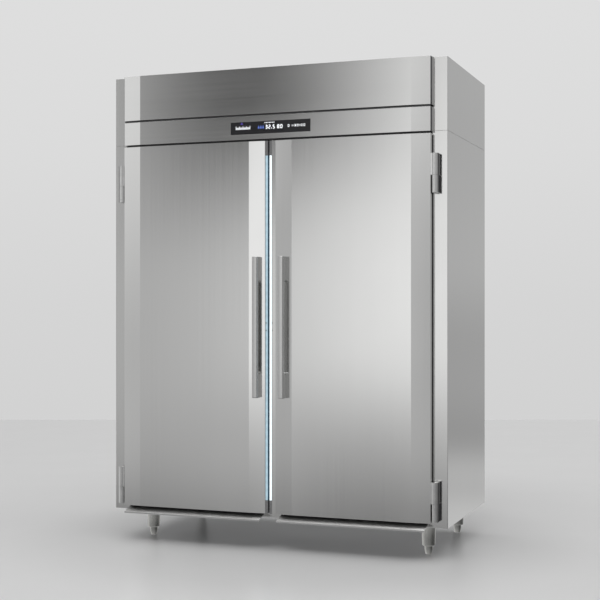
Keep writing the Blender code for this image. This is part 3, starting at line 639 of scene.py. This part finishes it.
GASKET_PROFILE = [
    (0.0000, 0.0),
    (0.0000, 0.12),
    (0.0012, 0.22),
    (0.0004, 0.38),
    (0.0014, 0.52),
    (0.0004, 0.66),
    (0.0020, 0.80),
    (0.0034, 1.0),
    (0.0121, 1.0),
    (0.0135, 0.80),
    (0.0151, 0.66),
    (0.0141, 0.52),
    (0.0151, 0.38),
    (0.0143, 0.22),
    (0.0155, 0.12),
    (0.0155, 0.0),
]


def door_gaskets():
    """Bellows gasket of each door: a mitred frame with two folds and a flat magnet face."""
    for hand in DOORS:
        low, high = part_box(f"{hand}_door_gasket")
        loops = []
        for inset, depth in GASKET_PROFILE:
            y = low[1] + (high[1] - low[1]) * depth
            x0, x1, z0, z1 = low[0] + inset, high[0] - inset, low[2] + inset, high[2] - inset
            loops.append([(x0, y, z0), (x1, y, z0), (x1, y, z1), (x0, y, z1)])
        ob = piece(
            f"{hand}_door_bellows_gasket", lofted(loops, True), VINYL, f"{hand}_door", 0.0003
        )
        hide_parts(f"{hand}_door_gasket")


BAR_DEEP, NOSE_R, HEEL_R = 0.0120, 0.0050, 0.0012
WEB_HIGH, WEB_CHAMFER, WING_SLOPE = 0.107, 0.004, 0.0717
EDGE_SCREWS_Z = (0.962, 0.994)


def door_grips():
    """Full-height grips: a bar with a rounded nose, on a web at each end that follows the folded skin."""
    for hand, s in DOORS.items():
        low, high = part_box(f"{hand}_door_handle")
        inner, outer = (low[0], high[0]) if s > 0 else (high[0], low[0])
        heel = low[1] + BAR_DEEP

        def section(inset):
            nose, back = max(NOSE_R - inset, 0.0005), max(HEEL_R - inset, 0.0003)
            near, far = low[1] + NOSE_R, heel - HEEL_R
            turns = arc(low[0] + NOSE_R, near, nose, 180, 270, 7)
            turns += arc(high[0] - NOSE_R, near, nose, 270, 360, 7)
            turns += arc(high[0] - HEEL_R, far, back, 0, 90, 3)
            turns += arc(low[0] + HEEL_R, far, back, 90, 180, 3)
            return turns

        ends = [(0.0, 0.0020), (0.0004, 0.0009), (0.0012, 0.0003), (0.0024, 0.0), (0.0036, 0.0)]
        levels = [(low[2] + up, inset) for up, inset in ends]
        levels += [(high[2] - up, inset) for up, inset in reversed(ends)]
        grip = lofted([[(x, y, z) for x, y in section(inset)] for z, inset in levels])
        webs = []
        for end, way in ((low[2] + 0.0005, 1.0), (high[2] - 0.0005, -1.0)):
            loops = []
            for x in (inner + s * 0.0003, outer - s * 0.0003):
                door = high[1] - abs(x - inner) * WING_SLOPE
                side = [(heel - 0.003, 0.0), (door, 0.0), (door, WEB_HIGH - WEB_CHAMFER)]
                side += [(heel + WEB_CHAMFER, WEB_HIGH), (heel, WEB_HIGH + WEB_CHAMFER)]
                side.append((heel - 0.003, WEB_HIGH + WEB_CHAMFER))
                loops.append([(x, y, end + way * z) for y, z in side])
            webs.append(lofted(loops))
        shape = combined([grip] + webs)
        ob = piece(f"{hand}_door_grip", shape, HANDLE_STEEL, f"{hand}_door", 0.0, True)
        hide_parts(f"{hand}_door_handle")


def door_edges():
    """The small screws halfway up each meeting edge, heads near-black as painted shade, and the dark blue lip
    beside the left lens, painted shade of the gap between the doors.
    """
    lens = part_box("right_door_light_lens")
    front = lens[0][1]
    places = {"right": lens[1][0] + 0.0032, "left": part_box("left_door_light_lens")[0][0] + 0.0036}
    for hand, x in places.items():
        heads = [screw((x, front, z), (0.0, -1.0, 0.0), 0.0023, 0.0006) for z in EDGE_SCREWS_Z]
        name = f"{hand}_door_edge_screws"
        piece(name, combined(heads), SCREW_SOCKET_SHADE, f"{hand}_door", 0.0, True)
    low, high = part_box("left_door_light_lens")
    front, back, edge = low[1] + 0.0010, low[1] + 0.0190, high[0]
    outline = [(edge, back), (edge, front), (edge + 0.0004, front), (edge + 0.0010, front + 0.0006)]
    outline += [(edge + 0.0010, back - 0.0010), (edge + 0.0004, back)]
    lip = prism(outline, low[2], high[2], "Z")
    # The lip's dark blue is painted shade of the gap between the doors.
    piece("left_door_lens_lip", lip, LENS_GAP_SHADE, "left_door", 0.0)


# ---------------------------------------------------------------- back, top, inside

VENT_COLUMNS, VENT_HALF, VENT_ROWS = (-0.45, 0.0, 0.45), 0.15, 9
VENT_FOOT, VENT_PITCH, VENT_TALL = 1.865, 0.022, 0.008
REAR_EDGE, REAR_INNER = 0.76, 0.507
LOWER_REAR_Z, UPPER_REAR_Z = (0.165, 1.775), (1.82, 2.095)
KNOCKOUT_X, KNOCKOUT_Z = 0.680, 1.845
COVER_INSET, COVER_END = 0.02, 0.18
DUCT_FOOT, DUCT_SCREWS_X, DUCT_SCREWS_Z = 0.0470, (-0.672, -0.345, 0.345, 0.672), (0.27, 1.63)
PLATE_SCREWS, PLATE_DOWN = (-0.034, 0.034), 0.004

def rear_details():
    """Vent louvres, casing screws and the supply knockout at the rear, and the screws on top."""
    low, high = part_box("upper_rear_casing")
    back = high[1]
    lips = []
    for x in VENT_COLUMNS:
        for k in range(VENT_ROWS):
            z = VENT_FOOT + VENT_PITCH * k + VENT_TALL
            curve = [(back - 0.0014, z), (back - 0.0040, z - 0.0010), (back - 0.0080, z - 0.0045)]
            curve += [(back - 0.0105, z - 0.0090), (back - 0.0113, z - 0.0086)]
            curve += [(back - 0.0089, z - 0.0036), (back - 0.0045, z + 0.0002), (back - 0.0014, z + 0.0010)]
            lips.append(prism(curve, x - VENT_HALF, x + VENT_HALF, "X"))
    louvres, steel = combined(lips), SLOTS["stainless_body"]
    piece("rear_vent_louvres", louvres, steel, "cabinet", 0.0)
    way = (0.0, 1.0, 0.0)
    places = [(x, z) for x in evenly(-REAR_EDGE, REAR_EDGE, 7) for z in UPPER_REAR_Z]
    places += [(x, z) for x in (-REAR_EDGE, REAR_EDGE) for z in evenly(*LOWER_REAR_Z, 8)]
    places += [(x, z) for x in evenly(-REAR_INNER, REAR_INNER, 5) for z in LOWER_REAR_Z]
    heads = [screw((x, back, z), way) for x, z in places]
    piece("rear_casing_screws", combined(heads), SCREW_STEEL, "cabinet", 0.0, True)
    disc = [(0.0, 0.0002), (0.0125, 0.0002), (0.0132, -0.0001), (0.0150, -0.0001), (0.0158, 0.0003)]
    disc += [(0.0168, 0.0), (0.0168, -0.0008), (0.0, -0.0008)]
    knockout = turned(disc, (KNOCKOUT_X, back, KNOCKOUT_Z), way, 32)
    piece("supply_knockout", knockout, GALVANISED, "cabinet", 0.0, True)

    low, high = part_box("top_cover")
    up = (0.0, 0.0, 1.0)
    sides, ends = (low[0] + COVER_INSET, high[0] - COVER_INSET), (low[1] + COVER_INSET, high[1] - COVER_INSET)
    places = [(x, y) for x in evenly(*sides, 7) for y in ends]
    places += [(x, y) for x in sides for y in evenly(low[1] + COVER_END, high[1] - COVER_END, 3)]
    heads = [screw((x, y, high[2]), up) for x, y in places]
    piece("top_cover_screws", combined(heads), SCREW_STEEL, "cabinet", 0.0, True)


def inside_details():
    """Screws of the duct panel and of the plates above the four legs."""
    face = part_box("air_duct_panel")[1][1] - DUCT_FOOT
    heads = []
    for x in DUCT_SCREWS_X:
        heads += [screw((x, face, z), (0.0, -1.0, 0.0)) for z in evenly(*DUCT_SCREWS_Z, 6)]
    piece("duct_screws", combined(heads), SCREW_STEEL, "cabinet", 0.0, True)
    down = (0.0, 0.0, -1.0)
    heads = []
    for node in NODES:
        if node.startswith("leg_socket"):
            low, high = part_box(node)
            cx, cy, z = (low[0] + high[0]) / 2, (low[1] + high[1]) / 2, high[2] - PLATE_DOWN
            for sx in PLATE_SCREWS:
                heads += [screw((cx + sx, cy + sy, z), down, 0.0045, 0.0025) for sy in PLATE_SCREWS]
    piece("leg_plate_screws", combined(heads), SCREW_STEEL, "cabinet", 0.0, True)


# ---------------------------------------------------------------- studio

CAMERA_AT, CAMERA_TURN, LENS_MM, LENS_SHIFT = (1.997, -5.3965, 1.079), 20.3, 74.5, 0.00583
FLOOR_EDGE, FLOOR_SPAN = 5.75, 24.0
WALL_TONE = [(-90.0, 0.60), (-5.0, 0.645), (0.0, 0.665), (7.0, 0.71), (13.0, 0.73), (90.0, 0.78)]
ROOM_TONE = [
    (-90.0, 0.55),
    (-32.0, 0.46),
    (-16.0, 0.22),
    (-9.8, 0.23),
    (-7.4, 0.48),
    (-4.0, 0.57),
    (3.0, 0.56),
    (8.0, 0.53),
    (16.0, 0.58),
    (32.0, 0.85),
    (55.0, 1.05),
    (90.0, 1.10),
]
# Soft boxes and dark flags: (degrees to the left of the front, spread to the left, spread to the right),
# (lower and upper edge in degrees above level, softness of each), and how much tone they add.
LAMPS = [
    ((14.5, 5.6, 3.4), (-4.5, 6.5, 2.8, 3.0), 0.66),
    ((12.5, 3.2, 4.0), (6.5, 18.0, 3.0, 6.0), 0.60),
    ((22.5, 3.0, 3.0), (6.0, 22.0, 3.5, 6.0), -0.36),
    ((24.5, 4.5, 4.0), (3.5, 16.0, 2.5, 6.0), -0.11),
    ((24.0, 4.0, 4.0), (2.5, 8.5, 1.5, 1.5), -0.06),
    ((13.4, 0.5, 3.0), (-12.0, 10.0, 3.0, 5.0), 0.27),
    ((-90.0, 32.0, 35.0), (-45.0, -5.0, 8.0, 3.0), -0.19),
    ((-95.0, 20.0, 20.0), (-3.0, 24.0, 3.0, 5.0), -0.30),
    ((105.0, 27.0, 27.0), (-3.0, 24.0, 3.0, 5.0), -0.35),
    ((105.0, 28.0, 35.0), (-45.0, -5.0, 8.0, 3.0), 0.50),
    ((-95.0, 32.0, 32.0), (24.0, 62.0, 5.0, 5.0), 1.60),
    ((95.0, 32.0, 32.0), (24.0, 62.0, 5.0, 5.0), 1.20),
    ((38.0, 20.0, 4.6), (3.2, 40.0, 6.2, 16.0), 0.56),
    ((43.0, 14.0, 6.0), (-8.2, 4.0, 0.9, 6.0), 0.18),
    ((30.2, 2.0, 0.8), (4.8, 12.0, 0.9, 3.0), 0.24),
    ((6.8, 2.5, 3.0), (-4.5, 12.0, 1.5, 3.0), -0.09),
    ((6.8, 2.5, 3.0), (-10.0, -5.5, 1.0, 1.0), 0.06),
    ((4.0, 5.0, 16.0), (5.0, 30.0, 5.0, 12.0), 0.20),
    ((22.5, 1.8, 1.3), (-11.0, -6.5, 2.0, 1.5), 0.17),
    ((-167.0, 9.0, 9.0), (-15.0, -7.0, 3.0, 1.2), 0.22),
    ((-167.0, 9.0, 9.0), (-25.0, -9.0, 3.0, 0.8), 0.30),
    ((-167.0, 9.0, 9.0), (-7.0, 0.0, 0.8, 2.0), -0.11),
]
KEY_LIGHT, CEILING_CUT, BEHIND_CUT, LEAST_TONE = 4.6, -0.75, -0.65, 0.01
# Floor tones: mottled near tones, a lighter far tone, and the distances from the cabinet's centre over which
# the painted shade fades out.
FLOOR_DARK, FLOOR_LIGHT, FLOOR_FAR, FLOOR_SHADE_FADE = 0.575, 0.595, 0.65, (0.9, 1.4)


def camera():
    """The view from the front right, a little above the middle of the cabinet."""
    data = bpy.data.cameras.new("view")
    data.sensor_width, data.lens, data.shift_y = 36.0, LENS_MM, LENS_SHIFT
    ob = bpy.data.objects.new("view", data)
    ob.location = CAMERA_AT
    ob.rotation_euler = (math.radians(90.0), 0.0, math.radians(CAMERA_TURN))
    bpy.context.scene.collection.objects.link(ob)
    bpy.context.scene.camera = ob


def world():
    """Light grey room: soft boxes where the steel mirrors them, an even tone for the backdrop."""
    made = bpy.data.worlds.new("studio")
    made.use_nodes = True
    bpy.context.scene.world = made
    g = Graph(made.node_tree)
    way = g.node("ShaderNodeTexCoord").outputs["Generated"]
    part = g.node("ShaderNodeSeparateXYZ", {"Vector": way}).outputs
    left, front = g.math("MULTIPLY", part["X"], -1.0), g.math("MULTIPLY", part["Y"], -1.0)
    turn = g.math("DEGREES", g.math("ARCTAN2", left, front))
    rise = g.math("DEGREES", g.math("ARCSINE", part["Z"]))

    def by_rise(stops):
        unit = g.math("MULTIPLY_ADD", rise, 1.0 / 180.0, 0.5)
        return g.ramp(unit, [((angle + 90.0) / 180.0, grey) for angle, grey in stops])

    def round_bell(centre, left_width, right_width):
        off = g.math("WRAP", g.math("SUBTRACT", turn, centre), 180.0, -180.0)
        side = g.math("GREATER_THAN", off, 0.0)
        width = g.math("MULTIPLY_ADD", side, left_width - right_width, right_width)
        off = g.math("DIVIDE", off, width)
        return g.math("EXPONENT", g.math("MULTIPLY", g.math("MULTIPLY", off, off), -0.5))

    def window(low, high, soft_low, soft_high):
        up = g.spread(rise, low - soft_low, low + soft_low, 0.0, 1.0)
        return g.math("MULTIPLY", up, g.spread(rise, high - soft_high, high + soft_high, 1.0, 0.0))

    tone = g.node("ShaderNodeRGBToBW", {"Color": by_rise(ROOM_TONE)}).outputs[0]
    lamps = [(round_bell(*around), window(*upright), gain) for around, upright, gain in LAMPS]
    for around, upright, gain in lamps:
        tone = g.math("ADD", tone, g.math("MULTIPLY", g.math("MULTIPLY", around, upright), gain))
    behind = g.math("MULTIPLY", round_bell(180.0, 55.0, 55.0), window(16.0, 40.0, 6.0, 6.0))
    tone = g.math("MULTIPLY", tone, g.math("MULTIPLY_ADD", behind, BEHIND_CUT, 1.0))
    ceiling = g.math("MULTIPLY_ADD", window(26.0, 50.0, 6.0, 6.0), CEILING_CUT, 1.0)
    key = g.math("MULTIPLY", round_bell(-8.0, 28.0, 28.0), window(43.0, 60.0, 4.0, 4.0))
    tone = g.math("MULTIPLY_ADD", key, KEY_LIGHT, g.math("MULTIPLY", tone, ceiling))
    tone = g.math("MAXIMUM", tone, LEAST_TONE)
    grey = g.node("ShaderNodeCombineColor", {"Red": tone, "Green": tone, "Blue": tone}).outputs[0]
    lit = g.node("ShaderNodeBackground", {"Color": grey})
    wall = g.node("ShaderNodeBackground", {"Color": by_rise(WALL_TONE)})
    seen = g.node("ShaderNodeLightPath").outputs["Is Camera Ray"]
    both = g.node("ShaderNodeMixShader", {0: seen, 1: lit.outputs[0], 2: wall.outputs[0]})
    out = g.node("ShaderNodeOutputWorld")
    g.feed(out.inputs["Surface"], both.outputs[0])


def floor():
    """Pale polished floor whose far edge lies level across the view, darker near the cabinet as painted
    shade.
    """
    made, g, shader = shade("floor_paint", Specular_IOR_Level=0.35)
    plain = g.node("ShaderNodeTexCoord").outputs["Object"]
    cloud = g.noise(plain, 0.6, 3.0)
    around = g.node("ShaderNodeVectorMath", {0: plain}, operation="LENGTH").outputs["Value"]
    dark, light, distant = (tint((grey,) * 3, 1.0) for grey in (FLOOR_DARK, FLOOR_LIGHT, FLOOR_FAR))
    near = g.mix(cloud, dark, light)
    # Painted shade: the floor is darker within 0.9 m of the cabinet's centre and reaches its far tone at 1.4
    # m.
    out_of_shade = g.spread(around, *FLOOR_SHADE_FADE, 0.0, 1.0)
    g.feed(shader.inputs["Base Color"], g.mix(out_of_shade, near, distant))
    g.feed(shader.inputs["Roughness"], g.spread(g.noise(plain, 2.5, 3.0), 0.3, 0.7, 0.28, 0.31))
    data = bpy.data.meshes.new("floor")
    near = FLOOR_EDGE - FLOOR_SPAN
    half = FLOOR_SPAN / 2
    corners = [(-half, near, 0.0), (half, near, 0.0), (half, FLOOR_EDGE, 0.0), (-half, FLOOR_EDGE, 0.0)]
    data.from_pydata(corners, [], [(0, 1, 2, 3)])
    data.materials.append(made)
    ob = bpy.data.objects.new("floor", data)
    ob.matrix_world = Matrix.Rotation(math.radians(CAMERA_TURN), 4, "Z")
    ob.visible_glossy = False
    bpy.context.scene.collection.objects.link(ob)
    bpy.context.scene.view_settings.view_transform = "Standard"


camera()
world()
floor()
dress_nodes()
control_graphics()
front_trim()
hinge_details()
door_gaskets()
door_grips()
door_edges()
rear_details()
inside_details()
